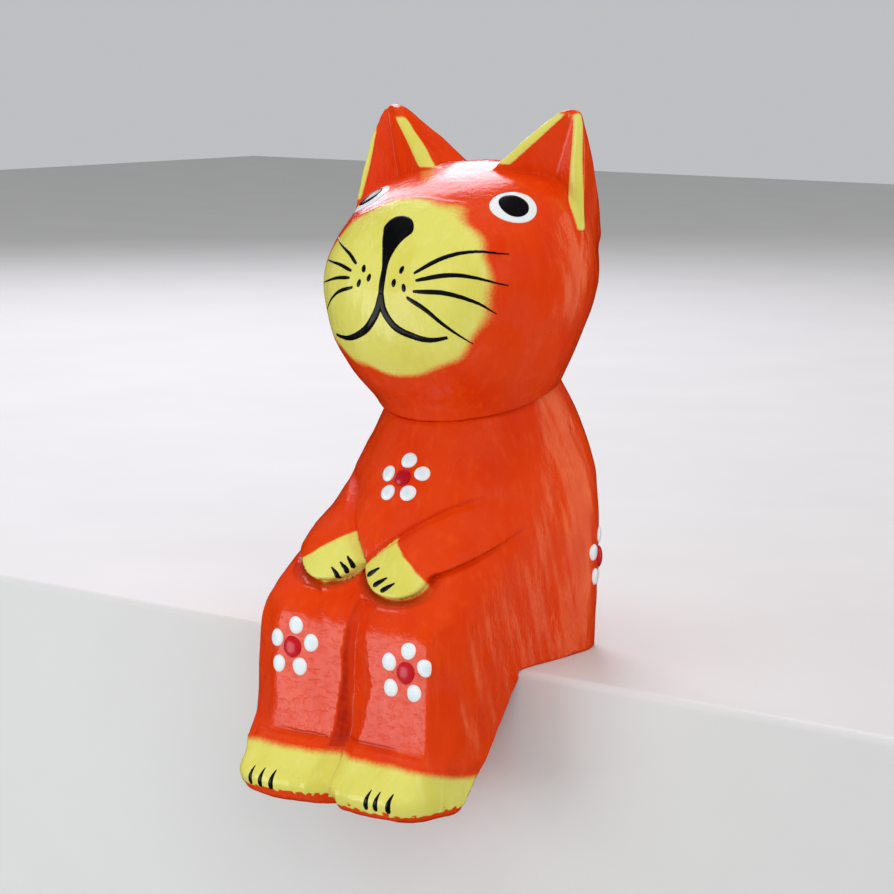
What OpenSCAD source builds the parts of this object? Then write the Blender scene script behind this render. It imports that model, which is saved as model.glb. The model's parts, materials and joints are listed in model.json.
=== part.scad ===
// Carved and painted wooden cat that sits on the edge of a shelf.
// Millimetres, +Z up, the cat looks along -Y and its left side is +X.
// The origin is the centre of the flat seat face, which rests on the shelf.

/* [Body] */
// Width of the body across the knees
body_w = 45.2; // [42:0.1:48]
// Depth of the seat, from the shelf edge to the back
seat_d = 29.2; // [27:0.1:31]
// Reach of the knees in front of the shelf edge
knee_reach = 22.4; // [20:0.1:24]
// Reach of the toes in front of the shelf edge
toe_reach = 29.6; // [27:0.1:32]
// Drop of the soles below the seat
leg_drop = 24; // [22:0.1:26]

/* [Head] */
// Width of the head
head_w = 49.4; // [46:0.1:52]
// Height of the middle of the neck joint above the seat
neck_h = 49; // [48:0.1:50]
// Tilt of the neck joint, rising towards the back, in degrees
neck_tilt = 18; // [14:1:20]
// Height of the ear tips above the seat
ear_tip_h = 100.6; // [98:0.1:103]
// Distance of each ear tip from the middle plane
ear_tip_x = 21.9; // [20:0.1:23]

/* [Carving] */
// Depth of the stop cuts round the arms and paws
cut_depth = 1.3; // [0.6:0.1:2]
// Depth of the groove between the legs
groove_depth = 1.9; // [1:0.1:3]
// Width of the groove's steep wall, on the cat's right side
groove_right_w = 1.8; // [1.2:0.1:3.4]
// Width of its shallow wall, on the cat's left side
groove_left_w = 5; // [3:0.1:5.6]

/* [Neck dowel] */
// Diameter of the hidden dowel
dowel_d = 8; // [6:0.5:10]
// Length of the hidden dowel
dowel_l = 30; // [24:1:34]
// Glue gap round the dowel
glue_gap = 0.05; // [0.02:0.01:0.1]

/* [Paint] */
// How far a paint film stands off the wood
film_t = 0.25; // [0.15:0.05:0.5]
// How far paint pieces are sunk into the wood
film_sink = 0.35; // [0.2:0.05:0.6]
// Diameter of a white petal dot
petal_d = 3.2; // [2.6:0.1:3.4]
// Diameter of a red flower centre
centre_d = 3.5; // [3:0.1:3.7]
// Distance from a flower's centre to its petals on a knee
knee_flower_r = 4.1; // [3.6:0.1:4.4]
// Distance from a flower's centre to its petals on the chest
chest_flower_r = 3.5; // [3.2:0.1:4]

/* [Mesh] */
// Rings of the body form
body_rings = 48; // [30:1:60]
// Rings of the head form
head_rings = 34; // [20:1:40]
// Points round each ring
ring_points = 72; // [48:4:84]

/* [Hidden] */

orange = [0.85, 0.24, 0.05];
yellow = [0.85, 0.80, 0.36];
enamel_white = [0.95, 0.95, 0.93];
enamel_black = [0.02, 0.02, 0.02];
enamel_red = [0.75, 0.03, 0.06];
beech = [0.80, 0.66, 0.47];

hw = body_w / 2;
hh = head_w / 2;
edge_y = -seat_d / 2;        // the shelf edge
under = 1.5;                 // how far cutting tools overshoot
neck_y = 0;                  // the neck joint's middle
crown_z = 90.1;
lap_z = 13;                  // the groove between the legs starts under the paws
ankle_z = -13;
groove_x = 1.2;              // the groove is deepest a little to the cat's left
toe_groove = 1.4;            // how much deeper the groove is between the feet
toe_groove_w = 3.4;          // its half width there, where it is even
cutter = 120;                // size of the blocks that cut the neck joint

// Each station is [height, half width, front, middle, back, front squareness, back squareness].
// Front, middle and back are measured from the shelf edge, and squareness 2 is an ellipse.
body_stations = [
    [-leg_drop, hw - 2.0, 3.4 - toe_reach, -7, seat_d, 5, 6],
    [1.2 - leg_drop, hw - 0.6, 1.0 - toe_reach, -7, seat_d, 6, 6],
    [4.3 - leg_drop, hw, -toe_reach, -7, seat_d, 7, 6],
    [-16, hw, 2.4 - toe_reach, -7, seat_d, 8, 6],
    [-12.6, hw, -knee_reach - 1.4, -5, seat_d, 10, 6],
    [-10, hw, -knee_reach - 0.6, -4, seat_d, 11, 6],
    [0, hw, -knee_reach, -1, seat_d, 11, 6],
    [6, hw, 0.8 - knee_reach, 1, seat_d, 10, 6],
    [10.5, hw - 0.1, 2.2 - knee_reach, 3, seat_d + 0.2, 8, 6],
    [14, hw - 0.2, -18, 4, seat_d + 0.5, 6, 6],
    [17, hw - 0.3, -16.2, 5, seat_d + 0.9, 4.6, 5.8],
    [20, hw - 0.4, -15.1, 6, seat_d + 1.3, 3.6, 5.5],
    [26, hw - 0.7, -12.2, 8, seat_d + 2.1, 2.3, 5],
    [30, hw - 1.3, -10, 9.5, seat_d + 2.5, 2, 4.6],
    [34, hw - 2, -7.8, 11, seat_d + 2.8, 1.95, 4.2],
    [42, hw - 4.6, -3.4, 13, seat_d + 2.4, 1.85, 3.4],
    [48, hw - 6.6, 0.2, 14, seat_d + 0.6, 1.9, 2.9],
    [58, hw - 11, 6, 15, seat_d - 5, 2, 2.4]];
head_stations = [
    [41, hh - 13.7, 0.7, 11.2, 21.2, 2, 2],
    [43.5, hh - 9.5, -1.6, 11.2, 23.6, 2, 2],
    [47, hh - 6.7, -3.6, 11.2, 26.2, 2, 2.1],
    [52.7, hh - 3.3, -7.2, 11.2, 29, 2.15, 2.1],
    [59.3, hh - 1.1, -10.6, 11.2, 32, 2.35, 2.15],
    [67, hh, -11.8, 11.2, 34.2, 2.45, 2.25],
    [73.5, hh - 0.1, -10.2, 11.2, 34.8, 2.4, 2.3],
    [80.8, hh - 1.9, -5.4, 11.7, 33.2, 2.25, 2.3],
    [84.5, hh - 4.1, -1, 12.7, 31, 2.1, 2.3],
    [87.5, hh - 7.9, 5.2, 14.7, 28.6, 2, 2.2],
    [89.2, hh - 13.1, 11.2, 17.2, 25.6, 2, 2],
    [crown_z, hh - 19.3, 15.7, 19.2, 22.4, 2, 2]];

// ---- smooth interpolation through a station table ----
function smooth(t) = t <= 0 ? 0 : t >= 1 ? 1 : t * t * (3 - 2 * t);
function segment_at(T, z, i = 0) = i >= len(T) - 2 || z < T[i + 1][0] ? i : segment_at(T, z, i + 1);
function slope_at(T, i, k) =
    let (a = max(0, i - 1), b = min(len(T) - 1, i + 1)) (T[b][k] - T[a][k]) / (T[b][0] - T[a][0]);
function station(T, z, k) =
    let (i = segment_at(T, z), h = T[i + 1][0] - T[i][0])
    let (t = min(1, max(0, (z - T[i][0]) / h)), s = smooth(t))
    T[i][k] * (1 - s) + T[i + 1][k] * s
    + h * t * (1 - t) * ((1 - t) * slope_at(T, i, k) - t * slope_at(T, i + 1, k));

// ---- the carved relief on the front of the body: depth cut at (x, z) ----
function arm_top(x) = 19.7 + 0.92 * x;
function arm_low(x) = x < 12 ? 19.4 - sqrt(max(0, 31 - pow(x - 6.8, 2))) : 17.3 + 0.5 * (x - 12);
function stop_cut(d, gentle) = d < -0.8 ? 0 : d < 0 ? 1 + d / 0.8 : max(0, 1 - d / gentle);
function paw_gap(x, z) = stop_cut(1.2 - x, 3) * smooth((20.5 - z) / 3) * smooth((z - 11) / 3);
function chest_cut(x, z) = stop_cut((z - arm_top(x)) * 0.74, 6) * smooth((20 - x) / 7);
function lap_cut(x, z) = stop_cut((arm_low(x) - z) * 0.9, 4.5);
function arm_cut(x, z) = x < 1 && z < arm_top(x) ? paw_gap(x, z)
    : z > (arm_top(x) + arm_low(x)) / 2 ? chest_cut(x, z) : lap_cut(x, z);
function leg_groove(x, z) =
    let (shin = smooth((z - ankle_z) / 3), off = x - groove_x * shin)
    let (wall = off < 0 ? groove_right_w : groove_left_w, w = toe_groove_w + (wall - toe_groove_w) * shin)
    (z < ankle_z ? toe_groove : 1) * groove_depth * max(0, 1 - abs(off) / w) * smooth((lap_z - z) / 4);
function relief(x, z) = cut_depth * arm_cut(abs(x), z) + leg_groove(x, z);

// ---- points on the two carved forms ----
function ring_angle(t) = -90 + 360 * t - 35 * sin(360 * t);
function form_point(T, a, z, carved) =
    let (w = station(T, z, 1), m = station(T, z, 3), front = sin(a) < 0)
    let (b = front ? m - station(T, z, 2) : station(T, z, 4) - m, n = station(T, z, front ? 5 : 6))
    let (r = pow(pow(abs(cos(a)) / w, n) + pow(abs(sin(a)) / b, n), -1 / n))
    let (x = r * cos(a), inward = carved && front ? relief(x, z) * (1 - pow(abs(x) / w, 8)) : 0)
    [x, edge_y + m + r * sin(a) + inward, z];
function front_y(T, x, z, carved) =
    let (w = station(T, z, 1), m = station(T, z, 3), b = m - station(T, z, 2), n = station(T, z, 5))
    edge_y + m - b * pow(max(0, 1 - pow(abs(x) / w, n)), 1 / n) + (carved ? relief(x, z) : 0);
function unit(v) = v / norm(v);
function front_normal(T, x, z, carved) =
    let (e = 0.4)
    unit([(front_y(T, x + e, z, carved) - front_y(T, x - e, z, carved)) / (2 * e), -1,
        (front_y(T, x, z + e, carved) - front_y(T, x, z - e, carved)) / (2 * e)]);
function on_body(q) = [q[0], front_y(body_stations, q[0], q[1], true), q[1]];
function on_head(q) = [q[0], front_y(head_stations, q[0], q[1], false), q[1]];

// ---- building blocks ----
// A closed grid of points: rows of equal length, wrapped round, with flat ends.
module closed_loft(rows) {
    n = len(rows[0]);
    m = len(rows);
    sides = [for (i = [0 : m - 2], j = [0 : n - 1]) let (k = (j + 1) % n)
        each [[i * n + j, (i + 1) * n + j, (i + 1) * n + k], [i * n + j, (i + 1) * n + k, i * n + k]]];
    bottom = [for (j = [0 : n - 1]) j];
    top = [for (j = [n - 1 : -1 : 0]) (m - 1) * n + j];
    polyhedron([for (r = rows) each r], concat(sides, [bottom, top]), convexity = 6);
}

module form(T, rings, carved) {
    z0 = T[0][0];
    z1 = T[len(T) - 1][0];
    closed_loft([for (i = [0 : rings]) let (z = z0 + (z1 - z0) * i / rings)
        [for (j = [0 : ring_points - 1]) form_point(T, ring_angle(j / ring_points), z, carved)]]);
}

// The half space above the tilted neck joint, or below it
module past_neck_joint(side) {
    translate([0, neck_y, neck_h]) rotate([neck_tilt, 0, 0])
        translate([0, 0, side * cutter / 2]) cube(cutter, center = true);
}

module neck_bore(r, l) {
    translate([0, neck_y, neck_h - l / 2]) cylinder(r = r, h = l, $fn = 48);
}

// A paint film from a centre point out to a rim, both given as [x, z] on a carved front
module film(centre, rim, carved, steps = 3) {
    T = carved ? body_stations : head_stations;
    n = len(rim);
    function at(q, out) = [q[0], front_y(T, q[0], q[1], carved) - out, q[1]];
    function layer(out) =
        [at(centre, out), for (s = [1 : steps], p = rim) at(centre + (p - centre) * s / steps, out)];
    last = 1 + (steps - 1) * n;
    size = 1 + steps * n;
    fan = [for (j = [0 : n - 1]) [0, 1 + (j + 1) % n, 1 + j]];
    web = [for (s = [0 : steps - 2], j = [0 : n - 1])
        let (a = 1 + s * n + j, b = 1 + s * n + (j + 1) % n) each [[a, b, b + n], [a, b + n, a + n]]];
    outer = concat(fan, web);
    inner = [for (f = outer) [f[2] + size, f[1] + size, f[0] + size]];
    rims = [for (j = [0 : n - 1]) let (a = last + j, b = last + (j + 1) % n)
        each [[a, b, b + size], [a, b + size, a + size]]];
    polyhedron(concat(layer(film_t), layer(-film_sink)), concat(outer, inner, rims), convexity = 4);
}

// A brush stroke: 3-D points, the outward direction at each, and its width at each
module stroke(pts, outs, widths, height = 0.35) {
    m = len(pts);
    function along(i) = unit(pts[min(m - 1, i + 1)] - pts[max(0, i - 1)]);
    closed_loft([for (i = [0 : m - 1])
        let (s = unit(cross(along(i), outs[i])) * widths[i] / 2, o = outs[i])
        [pts[i] + s - o * 0.1, pts[i] + o * height, pts[i] - s - o * 0.1, pts[i] - o * film_sink]]);
}

function taper(i, m) = max(0.25, sin(180 * (i + 0.35) / (m - 0.3)));
// A stroke whose route is a list of [x, z] on the front of the head or the body
module front_stroke(route, w, carved) {
    T = carved ? body_stations : head_stations;
    m = len(route);
    stroke([for (q = route) carved ? on_body(q) : on_head(q)],
        [for (q = route) front_normal(T, q[0], q[1], carved)], [for (i = [0 : m - 1]) w * taper(i, m)]);
}

// Points along a quadratic curve from a to b that passes near c
function bend(a, c, b, steps) =
    [for (i = [0 : steps]) let (t = i / steps) a * pow(1 - t, 2) + c * 2 * t * (1 - t) + b * pow(t, 2)];

module face_along(p, n) {
    translate(p) rotate([0, acos(n[2]), atan2(n[1], n[0])]) children();
}

// A raised dot of enamel, a low dome with its base sunk into the wood
module dome(d, h = 0.7) {
    r = d / 2;
    R = (r * r + h * h) / (2 * h);
    rotate_extrude($fn = 40) intersection() {
        translate([0, h - R]) circle(r = R, $fn = 96);
        translate([0, -film_sink]) square([r, h + film_sink]);
    }
}

// A low oval dome, w by h across
module oval_dome(w, h, t) {
    levels = [[-film_sink, 1], [0, 1], [0.6 * t, 0.85], [0.9 * t, 0.55], [t, 0.2]];
    closed_loft([for (l = levels)
        [for (i = [0 : 27]) let (a = 360 * i / 28) [w / 2 * cos(a) * l[1], h / 2 * sin(a) * l[1], l[0]]]]);
}

module dot_on_body(q, d) {
    face_along(on_body(q), front_normal(body_stations, q[0], q[1], true)) dome(d);
}

petals = 5;
petal_step = 360 / petals;
flower_turn = 4;             // the flowers on the front are turned a little
module flower_petals(centre, r) {
    for (i = [0 : petals - 1]) {
        a = petal_step * i + flower_turn;
        dot_on_body(centre + r * [sin(a), cos(a)], petal_d);
    }
}

module mirrored(side) {
    mirror([side > 0 ? 0 : 1, 0, 0]) children();
}

// ---- carved pieces ----
module body() {
    color(orange) difference() {
        form(body_stations, body_rings, true);
        // the shelf notch: square seat, then the slanted backs of the legs
        rotate([90, 0, 90]) linear_extrude(height = 2 * body_w, center = true) polygon([
            [edge_y, 0], [edge_y, -1.5], [edge_y - 5, -8.8], [edge_y - 16.6, -leg_drop - under],
            [seat_d, -leg_drop - under], [seat_d, 0]]);
        past_neck_joint(1);
        neck_bore(dowel_d / 2 + glue_gap, dowel_l + 1);
    }
}

// The corners of an ear: a pyramid whose front is hollowed along a crease
ear_tip = [ear_tip_x, edge_y + 17.1, ear_tip_h];
ear_inner = [5, edge_y + 15.4, 89.6];
ear_outer_left = [hh - 1.6, edge_y + 15, 79.5];
ear_outer_right = [hh - 1.2, edge_y + 7.6, 80.8];
ear_hollow = [17, edge_y + 16.4, 85.5];
ear_back_out = [hh - 5.2, edge_y + 26.6, 85];
ear_back_in = [8, edge_y + 24, 86.5];
ear_root = [[12, edge_y + 12, 78], [14, edge_y + 26, 78]];
module half_ear(front_corner, back_corner) {
    hull() {
        for (p = concat([ear_tip, front_corner, ear_hollow, back_corner], ear_root)) {
            translate(p) sphere(r = 0.5, $fn = 24);
        }
    }
}

module ear(outer) {
    half_ear(ear_inner, ear_back_in);
    half_ear(outer, ear_back_out);
}

module head() {
    color(orange) difference() {
        union() {
            form(head_stations, head_rings, false);
            ear(ear_outer_left);
            mirror([1, 0, 0]) ear(ear_outer_right);
        }
        past_neck_joint(-1);
        neck_bore(dowel_d / 2 + glue_gap, dowel_l + 1);
    }
}

module neck_dowel() {
    color(beech) neck_bore(dowel_d / 2, dowel_l);
}

// ---- paint on the face ----
muzzle_z = 68;
muzzle_half_w = 18.6;
muzzle_half_h = 15.4;
module muzzle_paint() {
    rim = [for (i = [0 : 35]) [muzzle_half_w * cos(10 * i), muzzle_z + muzzle_half_h * sin(10 * i)]];
    color(yellow) film([0, muzzle_z], rim, false, 7);
}

eye = [16.6, 83];
eye_slant = 12;
eye_size = [9.4, 6.6, 0.8];  // width, height and rise of the white
pupil_size = [6, 4.2, 1.15];
module eye_disc(size, side) {
    mirrored(side) face_along(on_head(eye), front_normal(head_stations, eye[0], eye[1], false))
        rotate([0, 0, eye_slant]) oval_dome(size[1], size[0], size[2]);
}

module eye_white_left() {
    color(enamel_white) eye_disc(eye_size, 1);
}

module eye_white_right() {
    color(enamel_white) eye_disc(eye_size, -1);
}

module pupil_left() {
    color(enamel_black) eye_disc(pupil_size, 1);
}

module pupil_right() {
    color(enamel_black) eye_disc(pupil_size, -1);
}

nose_top = 81.4;
fork_z = 66.6;
mouth_w = 1.1;
// A broad drop at the top of the nose that thins to a line at the fork
function nose_width(t) = 1.3 + 5.6 * sqrt(max(0, sin(180 * sqrt(t + 0.02)))) * pow(1 - t, 2.2);
module nose_and_mouth() {
    m = 10;
    route = [for (i = [0 : m]) [0, nose_top + (fork_z - nose_top) * i / m]];
    outs = [for (q = route) front_normal(head_stations, 0, q[1], false)];
    widths = [for (i = [0 : m]) nose_width(i / m)];
    color(enamel_black) stroke([for (q = route) on_head(q)], outs, widths, 0.5);
    color(enamel_black) for (side = [1, -1]) {
        lip = bend([0.2 * side, fork_z + 0.5], [side * 2.4, 56], [side * 13, 60.4], 12);
        front_stroke(lip, mouth_w, false);
    }
}

// Each whisker is [start, middle, end] as [x, z] on the face
whiskers = [
    [[6.6, 71.6], [13, 77.2], [20.6, 77.6]],
    [[6.9, 70.4], [13.6, 74], [20.4, 72.6]],
    [[6.6, 68.4], [13.8, 69.6], [19.4, 66.4]],
    [[5.6, 67.2], [11, 64.4], [16.4, 60.4]]];
whisker_w = 0.75;
spots = [[4.5, 72.1], [2.9, 70], [5.4, 69.4]];
spot_d = 1.1;
module whisker_set(side) {
    color(enamel_black) mirrored(side) for (w = whiskers) {
        front_stroke(bend(w[0], w[1], w[2], 8), whisker_w, false);
    }
}

module whiskers_left() {
    whisker_set(1);
}

module whiskers_right() {
    whisker_set(-1);
}

module whisker_spots() {
    color(enamel_black) for (side = [1, -1], q = spots) {
        p = [side * q[0], q[1]];
        face_along(on_head(p), front_normal(head_stations, p[0], p[1], false)) dome(spot_d, 0.3);
    }
}

// Yellow rims along the two front edges of an ear
module ear_stripes(side) {
    out = unit([0, -1, 0.35]);
    outer = side > 0 ? ear_outer_left : ear_outer_right;
    color(yellow) mirrored(side) for (foot = [outer, ear_inner]) {
        a = ear_tip + (foot - ear_tip) * 0.1 + out * 0.35;
        b = ear_tip + (foot - ear_tip) * 0.88 + out * 0.35;
        n = 5;
        widths = [for (i = [0 : n]) 1 + i * 0.25];
        stroke([for (i = [0 : n]) a + (b - a) * i / n], [for (i = [0 : n]) out], widths, 0.4);
    }
}

module ear_stripes_left() {
    ear_stripes(1);
}

module ear_stripes_right() {
    ear_stripes(-1);
}

// ---- paint on the body ----
paw = [6.9, 19.2];
paw_r = 5;
cuff_sum = 29.6;             // the cuff is the line x + z = cuff_sum
function paw_reach(a) =
    let (s = cos(a) + sin(a), cuff = s > 0.05 ? (cuff_sum - paw[0] - paw[1]) / s : paw_r) min(paw_r, cuff);
module paw_paint(side) {
    rim = [for (i = [0 : 23]) paw + paw_reach(15 * i) * [cos(15 * i), sin(15 * i)]];
    color(yellow) mirrored(side) film(paw, rim, true, 3);
}

module paw_paint_left() {
    paw_paint(1);
}

module paw_paint_right() {
    paw_paint(-1);
}

claws = [[2.9, 18.1], [4.4, 16.7], [6.2, 15.8]];
claw_w = 0.8;
module claw_strokes(side) {
    color(enamel_black) mirrored(side) for (q = claws) {
        front_stroke([for (i = [0 : 4]) q + [0.45, 0.6] * (i - 2)], claw_w, true);
    }
}

module claw_strokes_left() {
    claw_strokes(1);
}

module claw_strokes_right() {
    claw_strokes(-1);
}

foot_top = -14.6;
foot_base = 1.6 - leg_drop;
foot_turn = -88;             // the film starts beside the groove
foot_slope = 0.02;           // it drops this much a degree towards the back
// A film round the foot, following the body's form from the groove to the leg's back edge
module foot_paint(side) {
    steps = 7;
    heights = [for (i = [0 : steps]) foot_base + (foot_top - foot_base) * i / steps];
    turns = [for (i = [0 : 22]) foot_turn + i * 3.6];
    function at(a, z, grow) =
        let (p = form_point(body_stations, a, z - (a - foot_turn) * foot_slope, true))
        p + unit(p - [0, edge_y - 7, p[2]]) * grow;
    color(yellow) mirrored(side) closed_loft([for (a = turns) concat(
        [for (z = heights) at(a, z, film_t)],
        [for (i = [steps : -1 : 0]) at(a, heights[i], -film_sink)])]);
}

module foot_paint_left() {
    foot_paint(1);
}

module foot_paint_right() {
    foot_paint(-1);
}

toes_x = [11.2, 13.7, 16.3];
toe_z = -19.8;
toe_w = 0.85;
module toe_strokes(side) {
    color(enamel_black) mirrored(side) for (x = toes_x) {
        front_stroke([for (i = [0 : 4]) [x + 0.12 * (i - 2), toe_z + 0.75 * (i - 2)]], toe_w, true);
    }
}

module toe_strokes_left() {
    toe_strokes(1);
}

module toe_strokes_right() {
    toe_strokes(-1);
}

chest = [1.5, 34];
module chest_petals() {
    color(enamel_white) flower_petals(chest, chest_flower_r);
}

module chest_centre() {
    color(enamel_red) dot_on_body(chest, centre_d);
}

knee_left = [15, 2.3];
knee_right = [-12, 3.3];
module knee_petals_left() {
    color(enamel_white) flower_petals(knee_left, knee_flower_r);
}

module knee_petals_right() {
    color(enamel_white) flower_petals(knee_right, knee_flower_r);
}

module knee_centre_left() {
    color(enamel_red) dot_on_body(knee_left, centre_d);
}

module knee_centre_right() {
    color(enamel_red) dot_on_body(knee_right, centre_d);
}

// The two flowers on the rounded back corners
back_turn = 49;
back_z = 16.5;
petal_spread = 6.6;          // degrees of turn that match the flower's radius there
module dot_on_back(turn, rise, d, side) {
    function at(da, dz) = form_point(body_stations, back_turn + turn + da, back_z + rise + dz, false);
    outward = unit(cross(at(1, 0) - at(0, 0), at(0, 1) - at(0, 0)));
    mirrored(side) face_along(at(0, 0), outward) dome(d);
}

module back_petals(side) {
    color(enamel_white) for (i = [0 : petals - 1]) {
        a = petal_step * i;
        dot_on_back(-petal_spread * sin(a), knee_flower_r * cos(a), petal_d, side);
    }
}

module back_petals_left() {
    back_petals(1);
}

module back_petals_right() {
    back_petals(-1);
}

module back_centre_left() {
    color(enamel_red) dot_on_back(0, 0, centre_d, 1);
}

module back_centre_right() {
    color(enamel_red) dot_on_back(0, 0, centre_d, -1);
}

body();
head();
neck_dowel();
muzzle_paint();
eye_white_left();
eye_white_right();
pupil_left();
pupil_right();
nose_and_mouth();
whiskers_left();
whiskers_right();
whisker_spots();
ear_stripes_left();
ear_stripes_right();
paw_paint_left();
paw_paint_right();
claw_strokes_left();
claw_strokes_right();
foot_paint_left();
foot_paint_right();
toe_strokes_left();
toe_strokes_right();
chest_petals();
chest_centre();
knee_petals_left();
knee_petals_right();
knee_centre_left();
knee_centre_right();
back_petals_left();
back_petals_right();
back_centre_left();
back_centre_right();
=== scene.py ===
import json
import math

import bpy
import numpy as np
import openvdb
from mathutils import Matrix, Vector


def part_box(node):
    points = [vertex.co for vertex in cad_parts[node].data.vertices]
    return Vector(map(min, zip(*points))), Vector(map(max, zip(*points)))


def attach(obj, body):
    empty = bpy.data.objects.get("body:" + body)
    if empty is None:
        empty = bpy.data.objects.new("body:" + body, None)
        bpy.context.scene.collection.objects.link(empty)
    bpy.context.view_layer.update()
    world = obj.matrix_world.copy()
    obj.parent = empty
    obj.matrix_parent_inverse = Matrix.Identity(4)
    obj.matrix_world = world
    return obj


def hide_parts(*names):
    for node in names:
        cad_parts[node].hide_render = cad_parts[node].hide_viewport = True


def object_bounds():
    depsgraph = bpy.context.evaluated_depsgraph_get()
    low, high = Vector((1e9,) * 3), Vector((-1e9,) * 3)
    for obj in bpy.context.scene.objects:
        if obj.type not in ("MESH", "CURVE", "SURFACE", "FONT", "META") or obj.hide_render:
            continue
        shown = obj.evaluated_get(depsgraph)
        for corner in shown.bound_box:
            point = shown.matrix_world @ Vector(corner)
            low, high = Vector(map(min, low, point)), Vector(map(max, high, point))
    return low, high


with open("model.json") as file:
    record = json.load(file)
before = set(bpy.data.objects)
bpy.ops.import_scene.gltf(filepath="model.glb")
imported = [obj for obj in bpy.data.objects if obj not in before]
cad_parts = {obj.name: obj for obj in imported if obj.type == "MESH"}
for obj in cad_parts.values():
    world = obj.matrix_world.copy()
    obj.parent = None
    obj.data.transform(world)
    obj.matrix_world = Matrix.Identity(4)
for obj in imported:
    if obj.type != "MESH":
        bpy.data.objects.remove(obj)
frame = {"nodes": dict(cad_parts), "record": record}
cad_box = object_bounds()

# A carved and painted wooden cat that sits on the edge of a shelf. Sizes are in millimetres and
# become metres only where a mesh is made. The cat looks along -Y, +Z is up, its left side is +X,
# and the origin is the middle of the seat face that rests on the shelf.
MM = 0.001


def mm_box(node):
    low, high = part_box(node)
    return np.array(low) / MM, np.array(high) / MM


# ---- driving sizes, from the frame ----
body_low, body_high = mm_box("body")
head_low, head_high = mm_box("head")
dowel_low, dowel_high = mm_box("neck_dowel")
notch = next(o for o in frame["record"]["physics"]["openings"] if o["name"] == "shelf_notch")
SEAT_D = 2 * notch["box_m"][1][1] / MM    # depth of the seat, which the notch runs under
EDGE_Y = -SEAT_D / 2                      # the shelf edge
HALF_W = (body_high[0] - body_low[0]) / 2
HEAD_W = (head_high[0] - head_low[0]) / 2
DROP = -body_low[2]                       # soles below the seat
TOE = EDGE_Y - body_low[1]                # reach of the toes in front of the shelf
KNEE = TOE - 7.2                          # reach of the knees
NECK_Z = (dowel_low[2] + dowel_high[2]) / 2
NECK_TILT = math.radians(18)
DOWEL_L = dowel_high[2] - dowel_low[2]
BORE_R = (dowel_high[0] - dowel_low[0]) / 2 + 0.05
TIP_Z = head_high[2]
CROWN = TIP_Z - 10.5
FACE_Z = 66.0                             # height of the widest part of the head

# ---- the two carved forms, as stations ----
# [height, half width, front, middle, back, front squareness, back squareness]: front, middle and
# back are measured from the shelf edge, and squareness 2 is an ellipse.
BODY = np.array([
    [-DROP - 2, HALF_W - 1.6, 2.6 - TOE, -7, SEAT_D, 5, 6],
    [-DROP, HALF_W - 1, 1.9 - TOE, -7, SEAT_D, 5.5, 6],
    [1.2 - DROP, HALF_W - 0.4, 0.8 - TOE, -7, SEAT_D, 6, 6],
    [4.3 - DROP, HALF_W, -TOE, -7, SEAT_D, 7, 6],
    [-16, HALF_W, 3.3 - TOE, -7, SEAT_D, 8, 6],
    [-12.9, HALF_W, -KNEE - 1.7, -5, SEAT_D, 14, 6],
    [-10, HALF_W, -KNEE - 0.7, -4, SEAT_D, 19, 6],
    [0, HALF_W, -KNEE, -1, SEAT_D, 19, 6],
    [6, HALF_W, 0.35 - KNEE, 1, SEAT_D, 16, 6],
    [9.5, HALF_W - 0.1, 1.05 - KNEE, 3, SEAT_D + 0.2, 10, 6],
    [12, HALF_W - 0.15, 2.7 - KNEE, 3.5, SEAT_D + 0.3, 7, 6],
    [14, HALF_W - 0.2, -18.1, 4, SEAT_D + 0.5, 6, 6],
    [17, HALF_W - 0.3, -16.2, 5, SEAT_D + 0.9, 4.6, 5.8],
    [20, HALF_W - 0.4, -15.1, 6, SEAT_D + 1.3, 3.6, 5.5],
    [26, HALF_W - 0.7, -12.2, 8, SEAT_D + 2.1, 2.3, 5],
    [30, HALF_W - 1.3, -10, 9.5, SEAT_D + 2.5, 2, 4.6],
    [34, HALF_W - 2, -7.8, 11, SEAT_D + 2.8, 1.95, 4.2],
    [42, HALF_W - 4.6, -3.4, 13, SEAT_D + 2.4, 1.85, 3.4],
    [48, HALF_W - 6.6, 0.2, 14, SEAT_D + 0.6, 1.9, 2.9],
    [58, HALF_W - 11, 6, 15, SEAT_D - 5, 2, 2.4]])
HEAD = np.array([
    [2 * FACE_Z - CROWN, HEAD_W - 13.7, 0.7, 11.2, 21.2, 2, 2],
    [43.5, HEAD_W - 9.5, -1.6, 11.2, 23.2, 2, 2],
    [47, HEAD_W - 7.1, -3.5, 11.2, 25.0, 2, 2.0],
    [52.7, HEAD_W - 3.9, -7.8, 11.2, 27.2, 2.3, 2.0],
    [59.3, HEAD_W - 1.3, -10.8, 11.2, 30.4, 2.4, 2.05],
    [67, HEAD_W, -11.8, 11.2, 33.8, 2.45, 2.2],
    [73.5, HEAD_W - 0.1, -10.2, 11.2, 34.6, 2.4, 2.3],
    [80.8, HEAD_W - 1.9, -5.4, 11.7, 33.2, 1.95, 2.3],
    [84.5, HEAD_W - 4.1, -1, 12.7, 31, 1.7, 2.3],
    [87.5, HEAD_W - 7.9, 5.2, 14.7, 28.6, 1.75, 2.2],
    [89.2, HEAD_W - 12.6, 10.6, 17.2, 25.9, 2, 2],
    [CROWN, 0.02, 19.18, 19.2, 19.22, 2, 2]])


def latitude(z):
    """Height on the head as an angle, so that the crown closes roundly"""
    return np.arcsin(np.clip((z - FACE_Z) / (CROWN - FACE_Z), -1, 1))


HEAD_ROUND = HEAD.copy()
HEAD_ROUND[:, 0] = latitude(HEAD[:, 0])


# ---- tools for shapes given as fields: below zero inside, above zero outside ----
def smooth(t):
    t = np.clip(t, 0, 1)
    return t * t * (3 - 2 * t)


def meet(a, b, round_r):
    """The part inside both a and b, with its edge rounded"""
    h = np.clip(0.5 + 0.5 * (a - b) / round_r, 0, 1)
    return b * (1 - h) + a * h + round_r * h * (1 - h)


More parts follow.
